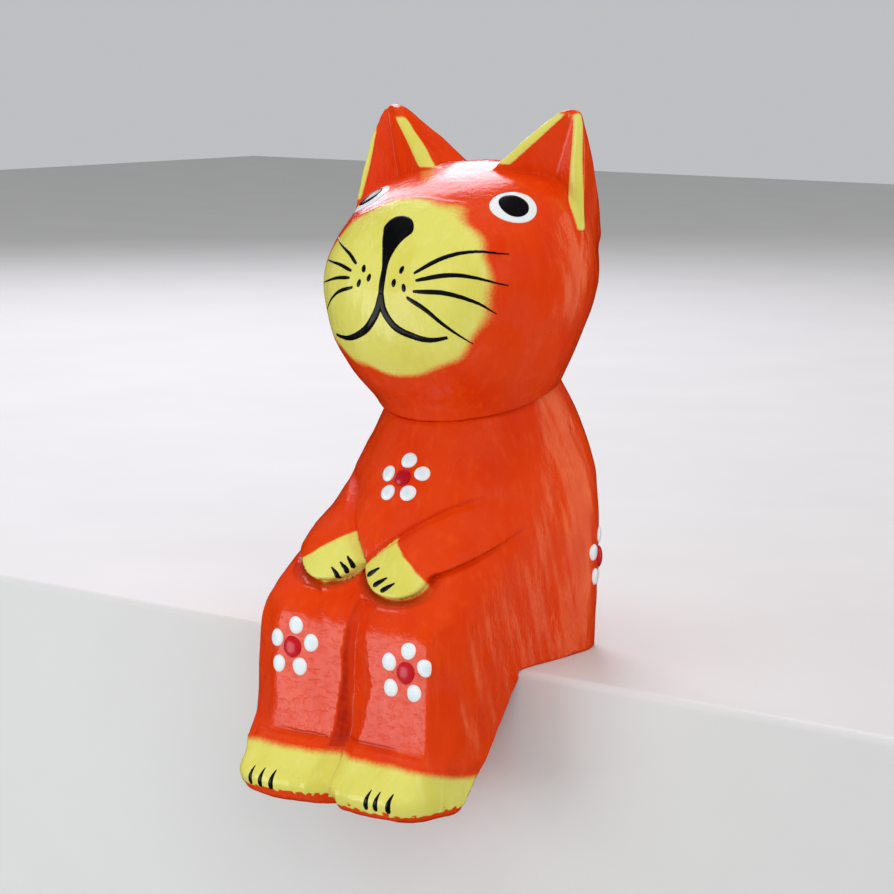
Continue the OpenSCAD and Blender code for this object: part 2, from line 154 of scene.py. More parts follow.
def join(a, b, round_r):
    return -meet(-a, -b, round_r)


def ripple(x, y, z, size, seed):
    """A smooth, irregular wave between about -1 and 1, the same on every run"""
    rng = np.random.default_rng(seed)
    total = 0
    for _ in range(6):
        direction = rng.normal(size=3)
        direction *= 2 * math.pi / (size * np.linalg.norm(direction) * rng.uniform(0.7, 1.5))
        total = total + np.sin(x * direction[0] + y * direction[1] + z * direction[2] + rng.uniform(0, 6.3))
    return total / 3


def stations_at(table, t):
    """Every column of a station table at t, on a smooth curve through its rows"""
    at, slope = table[:, 0], np.empty_like(table)
    slope[1:-1] = (table[2:] - table[:-2]) / (at[2:] - at[:-2])[:, None]
    slope[0] = (table[1] - table[0]) / (at[1] - at[0])
    slope[-1] = (table[-1] - table[-2]) / (at[-1] - at[-2])
    t = np.clip(t, at[0], at[-1])
    i = np.clip(np.searchsorted(at, t, side="right") - 1, 0, len(at) - 2)
    h = at[i + 1] - at[i]
    s = (t - at[i]) / h
    from_row, to_row = 2 * s**3 - 3 * s**2 + 1, 3 * s**2 - 2 * s**3
    from_slope, to_slope = (s**3 - 2 * s**2 + s) * h, (s**3 - s**2) * h
    return [from_row * table[i, k] + from_slope * slope[i, k] + to_row * table[i + 1, k]
            + to_slope * slope[i + 1, k] for k in range(1, 7)]


def form(table, x, y, t):
    """A carved form, about as a distance, and its front"""
    width, front, middle, back, front_n, back_n = stations_at(table, t)
    dy = y - EDGE_Y - middle
    ahead = dy < 0
    n = np.where(ahead, front_n, back_n)
    depth = np.where(ahead, middle - front, back - middle)
    q = (np.abs(x / width) ** n + np.abs(dy / depth) ** n) ** (1 / n) + 1e-9
    return np.hypot(x, dy) * (1 - 1 / q), EDGE_Y + front, ahead


# ---- the body ----
ANKLE_Z = -12.3
CHEST_CUT = 1.15                          # depth of the cut along the top of an arm
LAP_CUT = 2.0                             # and along its lower edge
PAW_RIDGE = 1.1                           # how far outside the paws a thin ridge of the lap runs
PAWS_MEET = -1.6                          # the paws meet a little to the cat's right
WRAP_R = 21                               # radius that makes a turn round the body a distance
WRAP_Y = -8.4                             # and the middle of that turn
ARM_TOP = 18.6                            # height of the top of the arms where the paws meet


def turn(x, y):
    """Distance round the body from where the paws meet"""
    return WRAP_R * np.arctan2(np.abs(x - PAWS_MEET), WRAP_Y - y)


def above_arm(u, x, z):
    """Distance above the line where an arm meets the chest"""
    left = ARM_TOP + 16.4 * (1 - np.exp(-u / 17.5))
    right = ARM_TOP + 17.5 * (1 - np.exp(-u / 14.5))
    return (z - np.where(x > PAWS_MEET, left, right)) * 0.76


def paw_edge(u, x, z):
    """Distance from the oval outline of a paw, below zero on the paw"""
    left = (np.hypot((u - 7.1) / 6.9, (z - 19.3) / 5.8) - 1) * 5.8
    right = (np.hypot((u - 6.6) / 6.3, (z - 20.2) / 5.1) - 1) * 5.4
    return np.where(x > PAWS_MEET, left, right)


def arm_edge(u, x, z):
    """Distance from the outline of the paw and forearm, below zero on the arm"""
    oval = paw_edge(u, x, z)
    forearm = np.maximum(17.6 + 0.45 * (u - 12.9) - z, 7 - u) * 0.9
    return np.maximum(join(oval, forearm, 0.8), above_arm(u, x, z))


def relief(x, y, z):
    """Depth cut from the front round the arms, less the arms' swell and the ridge round the paws"""
    u = turn(x, y)
    edge = arm_edge(u, x, z)
    chest = above_arm(u, x, z) > edge - 0.4
    chest_depth = CHEST_CUT * smooth((25 - u) / 10)
    lap_depth = LAP_CUT * smooth((33 - u) / 10) * (0.45 + 0.55 * smooth((15 - u) / 5))
    depth = np.where(chest, chest_depth, lap_depth)
    slope = np.where(chest, 3.2, 2.1)
    line = 0.7 * np.exp(-((edge / 0.5) ** 2)) * smooth((27 - u) / 8)
    beyond = np.exp(-np.clip(edge, 0, None) / slope)
    wall = np.clip(1 + edge / 0.6, 0, 1)
    swell = 0.55 * smooth(-edge / 3.2) * smooth((31 - u) / 8)
    off_ridge = paw_edge(u, x, z) - PAW_RIDGE
    ridge = 0.75 * np.exp(-((off_ridge / 0.5) ** 2)) * smooth((19.5 - z) / 3) * (edge > 0)
    return depth * np.where(edge > 0, beyond, wall) - swell + line - ridge


def leg_groove(x, y, z):
    """The groove between the legs, steep on the cat's right side and wide and shallow on its left"""
    heights = [-DROP, -17, -11.7, -1, 9.7]
    deepest = np.interp(z, heights, [0, 0.2, 0.5, 0.9, 1.4])
    right = np.interp(z, heights, [3.4, 3.2, 2.3, 1.4, 1.5]) + 0.22 * ripple(0 * x, 0 * y, z, 4, 3)
    left = np.interp(z, heights, [3.4, 3.6, 4.0, 5.8, 3.4]) + 0.35 * ripple(0 * x, 0 * y, z, 8, 4)
    depth = np.interp(z, heights, [3.1, 2.9, 2.6, 2.1, 1.6]) * smooth((14.2 - z) / 2.4)
    off = (x - deepest) / np.where(x < deepest, right, left)
    return depth * np.clip(1.03 - np.sqrt(off**2 + 0.003), 0, None)


def ankle(x, z):
    """The rounding of the toes and a saw cut, less the foot's step out from the shin's flat panel"""
    side = np.abs(x)
    step = 0.35 * smooth((ANKLE_Z - z) / 0.4) * smooth((z - ANKLE_Z + 3) / 2.6)
    saw_cut = 0.45 * np.exp(-(((z - ANKLE_Z - 0.35) / 0.35) ** 2))
    step = step - saw_cut * smooth((side - 2) / 2) * smooth((15 - side) / 3)
    toes = np.clip((side - 15) / 8, 0, 1) ** 2 + 0.8 * np.clip((13.5 - side) / 9, 0, 1) ** 2
    return toes * smooth((-14.5 - z) / 4) - step * smooth((20.4 - side) / 1.2)


def neck_joint(y, z):
    """Distance above the sloping joint between head and body"""
    return (z - NECK_Z) * math.cos(NECK_TILT) - y * math.sin(NECK_TILT)


def bore(x, y, z):
    return np.maximum(np.hypot(x, y) - BORE_R, np.abs(z - NECK_Z) - DOWEL_L / 2 - 0.5)


def tool_marks(x, y, z, seed):
    """The shallow facets that a knife leaves, long down the grain"""
    return 0.08 * ripple(x, y, z * 0.45, 7, seed) + 0.035 * ripple(x, y, z * 0.35, 2.6, seed + 1)


def body_field(x, y, z):
    """The carved body: fuller in front on the cat's right, with the shins' outer corners cut off"""
    field, front_y, ahead = form(BODY, x, y, z)
    fuller = 0.9 * smooth((9 - z) / 10) + 1.5 * np.exp(-(((z - 15.5) / 8.5) ** 2))
    field = field - fuller * smooth(-x / 12) * smooth((-12 - y) / 13)
    side = np.abs(x)
    right_x = np.interp(z, [-DROP, -12, -11, 10.5, 16], [22.5, 18.6, 17.8, 17.3, 17.3])
    left_x = np.interp(z, [-DROP, -12, 5, 16], [21.4, 20.2, 20.0, 18.6])
    right_bevel = 0.4 * (side - right_x) + 0.917 * (front_y - y)
    left_bevel = 0.89 * (side - left_x) + 0.46 * (front_y - y)
    bevel = np.where(x > 0, left_bevel, right_bevel) - 2.2 * smooth((z - 9) / 6)
    field = meet(field, bevel, 0.5)
    field = field + relief(x, y, z) + (leg_groove(x, y, z) + ankle(x, z)) * ahead
    field = meet(field, -DROP - z, 1.4)
    slope_y = EDGE_Y + np.interp(z, [-1.5 - DROP, -8.8, -1.5, 0], [-16.6, -5, 0, 0])
    field = meet(field, np.minimum(-z, (y - slope_y) * 0.87), 0.35)
    field = meet(field, neck_joint(y, z), 0.6)
    return np.maximum(field - tool_marks(x, y, z, 11), -bore(x, y, z))


# ---- the head ----
# The corners of each ear, which a knife left unlike each other. Both are written as on the cat's
# left: the tip, the two feet of the front, the bottom of the hollow, and the two feet at the back.
EARS = {1: [(23.3, 1.5, TIP_Z + 2.5), (7.6, -3.0, 89.6), (23.4, 1.8, 77.6), (15.9, 2.9, 85.6),
            (20.0, 12.4, 82.8), (6.6, 9.2, 87.8)],
        -1: [(23.3, 1.5, TIP_Z + 2.5), (7.4, -3.2, 88.6), (24.3, -7.0, 80.0), (19.3, 0.9, 85.6),
             (20.0, 12.4, 83.3), (6.6, 9.2, 87.8)]}
EAR_MIDDLE = (17.5, 5.5, 87.0)
EAR_ROOT = 76                             # height of its hidden bottom, inside the head
RIMS = {1: (1.2, 2.6), -1: (2.0, 1.1)}    # width of the flat rims along its inner and outer edges


def facet(a, b, c):
    """The outward unit normal and a point of the plane of an ear's face"""
    a, b, c = (np.array(p, float) for p in (a, b, c))
    normal = np.cross(b - a, c - a)
    normal /= np.linalg.norm(normal)
    return (-normal if normal @ (np.array(EAR_MIDDLE) - a) > 0 else normal), a


def toward(a, b, distance):
    a, b = np.array(a, float), np.array(b, float)
    return a + (b - a) * distance / np.linalg.norm(b - a)


def ear_planes(corners, rims):
    """The front plane, the two planes of the hollow, and the three outer faces of an ear"""
    tip, inner, outer, hollow, back_out, back_in = corners
    hollow_tip = toward(tip, hollow, 3.6)
    scoop = [facet(hollow_tip, toward(inner, outer, rims[0]), hollow),
             facet(hollow_tip, hollow, toward(outer, inner, rims[1]))]
    faces = [facet(tip, outer, back_out), facet(tip, back_out, back_in), facet(tip, back_in, inner)]
    return facet(tip, inner, outer), scoop, faces


EAR_PLANES = {side: ear_planes(corners, RIMS[side]) for side, corners in EARS.items()}
FACE_ROUND = (1.5, 2.4, 1.2)              # how far each outer face's edges are rounded
FACE_SWELL = (0.6, 0.4, 0.7)              # and how far its middle swells
SWELL_Z, SWELL_H = 91, 11                 # the height and half the length of that swell


def beyond_facet(plane, x, y, z):
    normal, point = plane
    return normal[0] * (x - point[0]) + normal[1] * (y - point[1]) + normal[2] * (z - point[2])


def one_ear(planes, x, y, z):
    front, scoop, faces = planes
    hollow = join(*(beyond_facet(p, x, y, z) for p in scoop), 0.5)
    field = meet(beyond_facet(front, x, y, z), hollow, 0.35)
    for plane, round_r, swell in zip(faces, FACE_ROUND, FACE_SWELL):
        swell = swell * (1 - ((z - SWELL_Z) / SWELL_H) ** 2)
        field = meet(field, beyond_facet(plane, x, y, z) - swell, round_r)
    return meet(meet(field, EAR_ROOT - z, 2), z - TIP_Z, 1.6)


def ear_field(x, y, z):
    return np.where(x > 0, one_ear(EAR_PLANES[1], x, y, z), one_ear(EAR_PLANES[-1], -x, y, z))


def head_field(x, y, z):
    field = form(HEAD_ROUND, x, y, latitude(z))[0]
    field = np.where(z > CROWN, np.maximum(field, z - CROWN), field)
    field = join(field, ear_field(x, y, z), 1.0 + 1.4 * smooth((89.5 - z) / 4))
    field = meet(field, -neck_joint(y, z), 0.6)
    return np.maximum(field - tool_marks(x, y, z, 21), -bore(x, y, z))


# ---- meshes ----
def gradient(field, points, step=0.02):
    slopes = []
    for axis in np.eye(3) * step:
        slopes.append((field(*(points + axis).T) - field(*(points - axis).T)) / (2 * step))
    return np.stack(slopes, 1)


def settle(field, points, rounds=3, reach=0.25):
    """Moves points onto the field's surface, along its slope"""
    for _ in range(rounds):
        slope = gradient(field, points)
        move = field(*points.T)[:, None] * slope / ((slope**2).sum(1)[:, None] + 1e-9)
        length = np.linalg.norm(move, axis=1)[:, None] + 1e-9
        points = points - move * np.minimum(1, reach / length)
    return points


def outward(field, points):
    slope = gradient(field, points)
    return slope / (np.linalg.norm(slope, axis=1)[:, None] + 1e-9)


def carve(field, low, high, voxel):
    """The points and four-sided faces of the surface where a field is zero"""
    axes = [np.arange(a - 1, b + 1, voxel) for a, b in zip(low, high)]
    values = np.empty([len(a) for a in axes], np.float32)
    for i, x in enumerate(axes[0]):
        y, z = np.meshgrid(axes[1], axes[2], indexing="ij")
        values[i] = field(np.full(y.shape, x), y, z)
    grid = openvdb.FloatGrid(3 * voxel)
    grid.copyFromArray(np.clip(values, -3 * voxel, 3 * voxel))
    points, faces = grid.convertToQuads(isovalue=0)
    points = settle(field, points * voxel + [a[0] for a in axes])
    faces = faces.astype(np.int64)
    corners = points[faces]
    facing = np.cross(corners[:, 2] - corners[:, 0], corners[:, 3] - corners[:, 1])
    if (facing * outward(field, corners.mean(1))).sum() < 0:
        faces = faces[:, ::-1]
    return points, faces


def add_layer(mesh, name, values):
    """A number for each point of a mesh, which its material reads"""
    layer = mesh.attributes.new(name, "FLOAT", "POINT")
    layer.data.foreach_set("value", values.astype(np.float32))


def make_mesh(name, points, faces, normals, layers):
    mesh = bpy.data.meshes.new(name)
    mesh.from_pydata((points * MM).tolist(), [], faces.tolist())
    mesh.shade_smooth()
    for layer, values in layers.items():
        add_layer(mesh, layer, values)
    mesh.normals_split_custom_set_from_vertices(normals.tolist())
    piece = bpy.data.objects.new(name, mesh)
    bpy.context.scene.collection.objects.link(piece)
    return piece


def shell(points, normals, faces, lift, sink):
    """A patch of surface made into a closed film: raised by lift and, underneath, sunk into the wood"""
    count = len(points)
    edges = np.concatenate([np.stack([faces[:, i], np.roll(faces, -1, 1)[:, i]], 1)
                            for i in range(faces.shape[1])])
    edges = edges[edges[:, 0] != edges[:, 1]]
    code = edges[:, 0] * count + edges[:, 1]
    rim = edges[~np.isin(code, edges[:, 1] * count + edges[:, 0])]
    walls = np.stack([rim[:, 1], rim[:, 0], rim[:, 0] + count, rim[:, 1] + count], 1)
    top = points + normals * np.reshape(lift, (-1, 1))
    return np.concatenate([top, points - normals * sink]), [faces, faces[:, ::-1] + count, walls]


def put_together(patches):
    """Joins closed films into one set of points and faces"""
    points, faces, start = [], [], 0
    for patch_points, patch_faces in patches:
        points.append(patch_points)
        faces += [list(dict.fromkeys(f)) for group in patch_faces for f in (group + start).tolist()]
        start += len(patch_points)
    return np.concatenate(points), faces


def finish_piece(piece, slot, *nodes):
    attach(piece, "root")
    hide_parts(*nodes)


def paint(name, slot, material, patches, cover=None):
    """Makes one piece of a film or of a set of brush marks"""
    points, faces = put_together(patches)
    mesh = bpy.data.meshes.new(name)
    mesh.from_pydata((points * MM).tolist(), [], faces)
    mesh.shade_smooth()
    if cover is not None:
        add_layer(mesh, "cover", cover)
    mesh.materials.append(material)
    piece = bpy.data.objects.new(name, mesh)
    bpy.context.scene.collection.objects.link(piece)
    finish_piece(piece, slot, name)


def curve(route, count):
    """Points along a smooth curve through a few points, evenly spread"""
    route = np.array(route, float)
    slope = np.gradient(route, axis=0)
    t = np.linspace(0, len(route) - 1, count)
    i = np.minimum(t.astype(int), len(route) - 2)
    s = (t - i)[:, None]
    return ((2 * s**3 - 3 * s**2 + 1) * route[i] + (s**3 - 2 * s**2 + s) * slope[i]
            + (3 * s**2 - 2 * s**3) * route[i + 1] + (s**3 - s**2) * slope[i + 1])


def seen_along(field, start, direction, length=70, steps=400):
    """Where lines from start points along a direction first meet the surface"""
    t = np.linspace(0, length, steps)
    start = np.atleast_2d(np.array(start, float))
    points = start[:, None] + t[None, :, None] * np.array(direction, float)
    values = field(*np.moveaxis(points, 2, 0))
    first = (values <= 0).argmax(1)
    return settle(field, points[np.arange(len(start)), first], 8)


def on_front(field, route):
    """Points on the front of a form from their x and z"""
    route = np.atleast_2d(np.array(route, float))
    return seen_along(field, np.stack([route[:, 0], np.full(len(route), -55.0), route[:, 1]], 1), (0, 1, 0))


def grid_faces(rows, columns):
    i, j = np.meshgrid(np.arange(rows - 1), np.arange(columns - 1), indexing="ij")
    corner = (i * columns + j).ravel()
    return np.stack([corner, corner + columns, corner + columns + 1, corner + 1], 1)


def unit(v):
    return v / (np.linalg.norm(v, axis=-1, keepdims=True) + 1e-12)


def brush_mark(field, route, width, height=0.13, count=40, across=9, base=0.09):
    """A raised mark of a loaded brush along a route of x and z; width is a function of 0 to 1"""
    centre = on_front(field, curve(route, count))
    normal = outward(field, centre)
    sideways = unit(np.cross(normal, unit(np.gradient(centre, axis=0))))
    s = np.linspace(-1, 1, across)
    half = width(np.linspace(0, 1, count)) / 2
    grid = centre[:, None] + sideways[:, None] * (s[None, :] * half[:, None])[:, :, None]
    grid = settle(field, grid.reshape(-1, 3))
    faces = grid_faces(count, across)
    normal = outward(field, grid)
    a, b, c = (grid[faces[:, k]] for k in (0, 1, 3))
    if (np.cross(b - a, c - a) * normal[faces[:, 0]]).sum() < 0:
        faces = faces[:, ::-1]
    bead = np.sqrt(1 - 0.97 * s**2)[None, :] * np.sqrt(half / half.max())[:, None]
    return shell(grid, normal, faces, base + height * bead.ravel(), 0.12)


def dab(field, centre, half_w, half_h, slant=0, rise=0.3, base=0.0, seed=0, rings=8, spokes=36):
    """A drop of paint: a low oval dome that follows the surface round a point"""
    rng = np.random.default_rng(seed)
    phase = rng.uniform(0, 6.3, 2)
    normal = outward(field, centre[None])[0]
    sideways = unit(np.cross((0, 0, 1), normal))
    upward = np.cross(normal, sideways)
    s = np.sin(np.linspace(0, 1, rings + 1) * math.pi / 2)[1:]
    a = np.linspace(0, 2 * math.pi, spokes, endpoint=False)
    uneven = 1 + 0.035 * np.sin(2 * a + phase[0]) + 0.02 * np.sin(3 * a + phase[1])
    u = half_w * np.cos(a) * uneven
    v = half_h * np.sin(a) * uneven
    u, v = u * math.cos(slant) - v * math.sin(slant), u * math.sin(slant) + v * math.cos(slant)
    disc = centre + s[:, None, None] * (u[:, None] * sideways + v[:, None] * upward)
    points = settle(field, np.concatenate([centre[None], disc.reshape(-1, 3)]), 6)
    level = np.concatenate([[0], np.repeat(s, spokes)])
    j = np.arange(spokes)
    k = (j + 1) % spokes
    fan = np.stack([0 * j, 1 + j, 1 + k, 1 + k], 1)
    web = [np.stack([1 + r + j, 1 + r + spokes + j, 1 + r + spokes + k, 1 + r + k], 1)
           for r in range(0, spokes * (rings - 1), spokes)]
    lift = base + rise * np.sqrt(1 - 0.995 * level**2)
    return shell(points, outward(field, points), np.concatenate([fan] + web), lift, 0.12)


def dab_reflection_mask(rings=8, spokes=36):
    """For each point of one layer of a dab, 1 at its middle and 0 at its rim: where its painted reflection
    lies
    """
    return np.concatenate([[1], np.repeat(1 - np.linspace(0, 1, rings + 1)[1:], spokes)])


def film(points, normals, faces, cover, lift=0.09, dip=0.03):
    """A sprayed film over the part of a carved surface where cover is above zero"""
    kept = faces[(cover[faces] > 0).any(1)]
    used, index = np.unique(kept, return_inverse=True)
    index = index.reshape(kept.shape)
    rise = -dip + (lift + dip) * smooth(cover[used] * 4)
    patch = shell(points[used], normals[used], index, rise, 0.25)
    return patch, np.tile(cover[used], 2)


# ---- materials ----
class Nodes:
    """A material whose nodes are added one by one, fed with values or with other nodes' outputs"""

    def __init__(self, name):
        self.material = bpy.data.materials.new(name)
        self.material.use_nodes = True
        self.tree = self.material.node_tree
        self.shader = self.tree.nodes["Principled BSDF"]
        self.place = self.add("ShaderNodeTexCoord").outputs["Object"]

    def add(self, kind, settings=None, **inputs):
        node = self.tree.nodes.new(kind)
        for key, value in (settings or {}).items():
            setattr(node, key, value)
        self.feed(node, **inputs)
        return node

    def feed(self, node, **inputs):
        for key, value in inputs.items():
            numbered = key[0] == "i" and key[1:].isdigit()
            socket = node.inputs[int(key[1:]) if numbered else key.replace("_", " ")]
            if isinstance(value, bpy.types.NodeSocket):
                self.tree.links.new(value, socket)
            else:
                socket.default_value = value

    def math(self, operation, a, b=0.0, c=0.0):
        return self.add("ShaderNodeMath", {"operation": operation}, i0=a, i1=b, i2=c).outputs[0]

    def layer(self, name):
        """A number that the mesh carries at each point, or 0 if it has no such layer"""
        return self.add("ShaderNodeAttribute", {"attribute_name": name}).outputs["Fac"]

    def noise(self, size, detail=2.0, stretch=(1, 1, 1), roughness=0.5):
        """Noise from 0 to 1 whose features are about size millimetres, times 1/stretch along each axis"""
        scale = tuple(k / (size * MM) for k in stretch)
        spot = self.add("ShaderNodeMapping", Vector=self.place, Scale=scale)
        node = self.add("ShaderNodeTexNoise", Vector=spot.outputs[0], Scale=1.0, Detail=detail,
                        Roughness=roughness)
        return node.outputs["Fac"]

    def spread(self, value, low, high, to_low=0.0, to_high=1.0):
        """Takes low to high smoothly to to_low and to_high"""
        node = self.add("ShaderNodeMapRange", {"interpolation_type": "SMOOTHSTEP"}, i0=value, i1=low,
                        i2=high, i3=to_low, i4=to_high)
        return node.outputs[0]

    def blend(self, factor, a, b):
        node = self.add("ShaderNodeMix", {"data_type": "RGBA"}, i0=factor, i6=a, i7=b)
        return node.outputs[2]


# Each enamel where it is plain, deep and thin
ORANGE = ((0.82, 0.052, 0.002, 1), (0.76, 0.036, 0.001, 1), (0.86, 0.082, 0.007, 1))
YELLOW = ((0.79, 0.745, 0.15, 1), (0.72, 0.65, 0.09, 1), (0.84, 0.80, 0.25, 1))
WHITE = ((0.86, 0.87, 0.87, 1), (0.76, 0.82, 0.86, 1), (0.90, 0.90, 0.88, 1))
PETAL_WHITE = ((0.92, 0.93, 0.93, 1), (0.86, 0.89, 0.91, 1), (0.94, 0.94, 0.93, 1))
RED = ((0.60, 0.006, 0.016, 1), (0.45, 0.003, 0.012, 1), (0.72, 0.02, 0.03, 1))
BLACK = ((0.006, 0.006, 0.007, 1), (0.002, 0.002, 0.003, 1), (0.016, 0.015, 0.015, 1))
# painted reflection: the pale blue laid into the middle of each white petal
PETAL_REFLECTION = (0.72, 0.84, 0.89, 1)
SHADE_RED = (0.36, 0.008, 0.002, 1)        # painted shade: the deep red laid into the grooves and under the paws
ROUGH = 0.22                              # the enamels' usual roughness


def brushed_colour(nodes, shades):
    """One enamel colour with thin and thick places, in streaks along the grain"""
    plain, deep, thin = shades
    colour = nodes.blend(nodes.spread(nodes.noise(9, 3, (1, 1, 0.4)), 0.40, 0.68, 0, 0.75), plain, deep)
    streaks = nodes.spread(nodes.noise(1.5, 4, (1, 1, 0.16)), 0.52, 0.74, 0, 0.5)
    return nodes.blend(streaks, colour, thin)


def enamel(name, shades, sprayed=False, wrinkle=0.2, middle=None, shine=0.3):
    """Hand-brushed gloss enamel, pitted where the wood was cut flat, and with painted shade: deep red in
    the grooves and under the paws

    Sprayed enamel fades into the orange where its film's cover runs out, and a drop of enamel can
    have a painted reflection of another colour at its middle. wrinkle is the bump's height in
    millimetres, and shine is the strength of the reflections.
    """
    nodes = Nodes(name)
    colour = brushed_colour(nodes, ORANGE if sprayed else shades)
    if sprayed:
        cover = nodes.layer("cover")
        speckle = nodes.math("MULTIPLY_ADD", nodes.noise(0.5, 3), 0.3, cover)
        colour = nodes.blend(nodes.spread(speckle, 0.32, 0.95), colour, brushed_colour(nodes, shades))
    else:
        # painted shade: a deep red laid over the orange in the grooves and under the paws
        colour = nodes.blend(nodes.math("MULTIPLY", nodes.layer("painted_shade"), 0.8), colour, SHADE_RED)
    # painted reflection: a second colour blended into the middle of a drop
    if middle:
        cover = nodes.layer("cover")
        colour = nodes.blend(nodes.spread(cover, 0.4, 0.9), colour, middle)
    wrinkles = nodes.math("MULTIPLY", nodes.noise(1.1, 3, (1, 1, 0.5), 0.55),
                          nodes.spread(nodes.noise(14, 1), 0.35, 0.65, 0.25, 1))
    dust = nodes.math("MULTIPLY_ADD", nodes.noise(0.35, 1), 0.12, wrinkles)
    pits = nodes.spread(nodes.noise(1.1, 3, (0.5, 1, 1.2)), 0.45, 0.8, 0, 0.6)
    dust = nodes.math("SUBTRACT", dust, nodes.math("MULTIPLY", pits, nodes.layer("flat")))
    bump = nodes.add("ShaderNodeBump", Strength=1.0, Distance=wrinkle * MM, Height=dust)
    gloss = nodes.spread(nodes.noise(6, 3), 0.3, 0.7, ROUGH * 0.75, ROUGH * 1.5)
    nodes.feed(nodes.shader, Base_Color=colour, Roughness=gloss, Normal=bump.outputs[0])
    nodes.shader.inputs["Specular IOR Level"].default_value = shine
    nodes.shader.inputs["Coat Weight"].default_value = 0.8 * shine
    nodes.shader.inputs["Coat Roughness"].default_value = 0.1
    return nodes.material


def bare_wood(name):
    """Turned dowel wood, pale, with its grain along the dowel"""
    nodes = Nodes(name)
    rings = nodes.noise(0.9, 4, (1, 1, 0.06), 0.6)
    colour = nodes.blend(nodes.spread(rings, 0.35, 0.7), (0.62, 0.43, 0.24, 1), (0.42, 0.25, 0.12, 1))
    bump = nodes.add("ShaderNodeBump", Strength=1.0, Distance=0.04 * MM, Height=rings)
    nodes.feed(nodes.shader, Base_Color=colour, Roughness=nodes.spread(rings, 0.3, 0.7, 0.55, 0.75),
               Normal=bump.outputs[0])
    return nodes.material


def plaster(name):
    """The plain pale floor"""
    nodes = Nodes(name)
    colour = nodes.blend(nodes.noise(40, 3), (0.70, 0.69, 0.675, 1), (0.76, 0.75, 0.735, 1))
    nodes.feed(nodes.shader, Base_Color=colour)
    nodes.shader.inputs["Roughness"].default_value = 0.6
    return nodes.material


orange = enamel("orange_enamel", ORANGE)
yellow = enamel("yellow_enamel", YELLOW, sprayed=True)
white = enamel("white_enamel", WHITE, wrinkle=0.02)
petal_white = enamel("petal_enamel", PETAL_WHITE, wrinkle=0.02, middle=PETAL_REFLECTION)
red = enamel("red_enamel", RED, wrinkle=0.03)
black = enamel("black_enamel", BLACK, wrinkle=0.03, shine=0.14)
wood = bare_wood("dowel_wood")

# ---- the carved pieces ----
# The spacing of the grids that the two forms are carved on
BODY_VOXEL = 0.44
HEAD_VOXEL = 0.37


def cut_flat(x, y, z):
    """1 on the flat panels of the shins and 0 elsewhere"""
    return smooth((-34.5 - y) / 0.8) * smooth((z - ANKLE_Z) / 0.8) * smooth((12.5 - z) / 1.5)


def painted_shade_red(x, y, z):
    """Painted shade: where the red is painted darker, in the leg groove and saw cuts and under the paws and
    forearms, where shade falls
    """
    wall = smooth((0.7 - x) / 0.8) * smooth((leg_groove(x, y, z) - 0.08) / 0.4) * (y < -28)
    wall = wall * smooth((z + 16.5) / 5) * (0.75 + 0.25 * ripple(x, y, z, 1.5, 15))
    saw_cut = 0.7 * np.exp(-(((z - ANKLE_Z - 0.5) / 0.3) ** 2)) * (y < -30) * smooth((13 - np.abs(x)) / 3)
    u = turn(x, y)
    edge = arm_edge(u, x, z)
    lap = above_arm(u, x, z) < edge - 0.4
    under = smooth((edge + 0.5) / 0.5) * smooth((1.5 - edge) / 0.9) * smooth((17 - u) / 5) * lap * (y < -8)
    return np.clip(np.maximum(wall, np.maximum(saw_cut, 0.8 * under)), 0, 1)


def carved_piece(name, field, low, high, voxel):
    points, faces = carve(field, low, high, voxel)
    normals = outward(field, points)
    layers = {"flat": cut_flat(*points.T) * smooth(-normals[:, 1] * 8 - 6.6)}
    if name == "body":
        # painted shade, carried as a layer that the body's material darkens to deep red
        layers["painted_shade"] = painted_shade_red(*points.T)
    piece = make_mesh(name, points, faces, normals, layers)
    piece.data.materials.append(orange)
    finish_piece(piece, "orange_enamel", name)
    return points, normals, faces


body_surface = carved_piece("body", body_field, body_low, body_high, BODY_VOXEL)
head_surface = carved_piece("head", head_field, head_low, head_high, HEAD_VOXEL)
frame["nodes"]["neck_dowel"].data.materials.clear()
frame["nodes"]["neck_dowel"].data.materials.append(wood)

# ---- sprayed yellow films ----
MUZZLE = (0.0, 68.5)
MUZZLE_HALF = (19.3, 15.5)
MUZZLE_SQUARE = 2.12                      # 2 is an ellipse
MUZZLE_R = 16                             # its rough radius, and the width that it fades over
MUZZLE_FADE = 3.4
FOOT_TOP = -14.6                          # height of the yellow's top edge on the feet
# Heights where the yellow ends on each ear: on its inner and outer rims, and below its tip
RIM_ENDS = {1: (90.0, 78.4), -1: (88.8, 82.4)}
RIM_TOPS = {1: TIP_Z - 0.6, -1: TIP_Z - 2.2}


def sprayed(name, surface, cover):
    """A yellow film on the parts of a surface that don't face backwards"""
    points, normals, faces = surface
    patch, cover = film(points, normals, faces, np.where(normals[:, 1] < 0.45, cover, 0))
    paint(name, "yellow_enamel", yellow, [patch], cover)


def muzzle_cover(x, y, z):
    across, up = np.abs(x - MUZZLE[0]) / MUZZLE_HALF[0], np.abs(z - MUZZLE[1]) / MUZZLE_HALF[1]
    reach = (across**MUZZLE_SQUARE + up**MUZZLE_SQUARE) ** (1 / MUZZLE_SQUARE)
    edge = (1 - reach) * MUZZLE_R / MUZZLE_FADE
    return smooth(edge + 0.5 + 0.16 * ripple(x, y, z, 9, 5)) * (y < 8)


def paw_cover(x, y, z):
    """The paws as far as their cuffs, inside the carved outline"""
    u = turn(x, y)
    cuff = np.where(x > PAWS_MEET, 30.2 - u - z, (27.9 - 0.8 * u - z) * 1.1) * 0.7
    return (smooth(cuff / 1.3 + 0.5 + 0.15 * ripple(x, y, z, 3, 6)) * smooth(-arm_edge(u, x, z) / 0.5 + 0.8)
            * (z > 12) * (z < 27) * (y < -18))


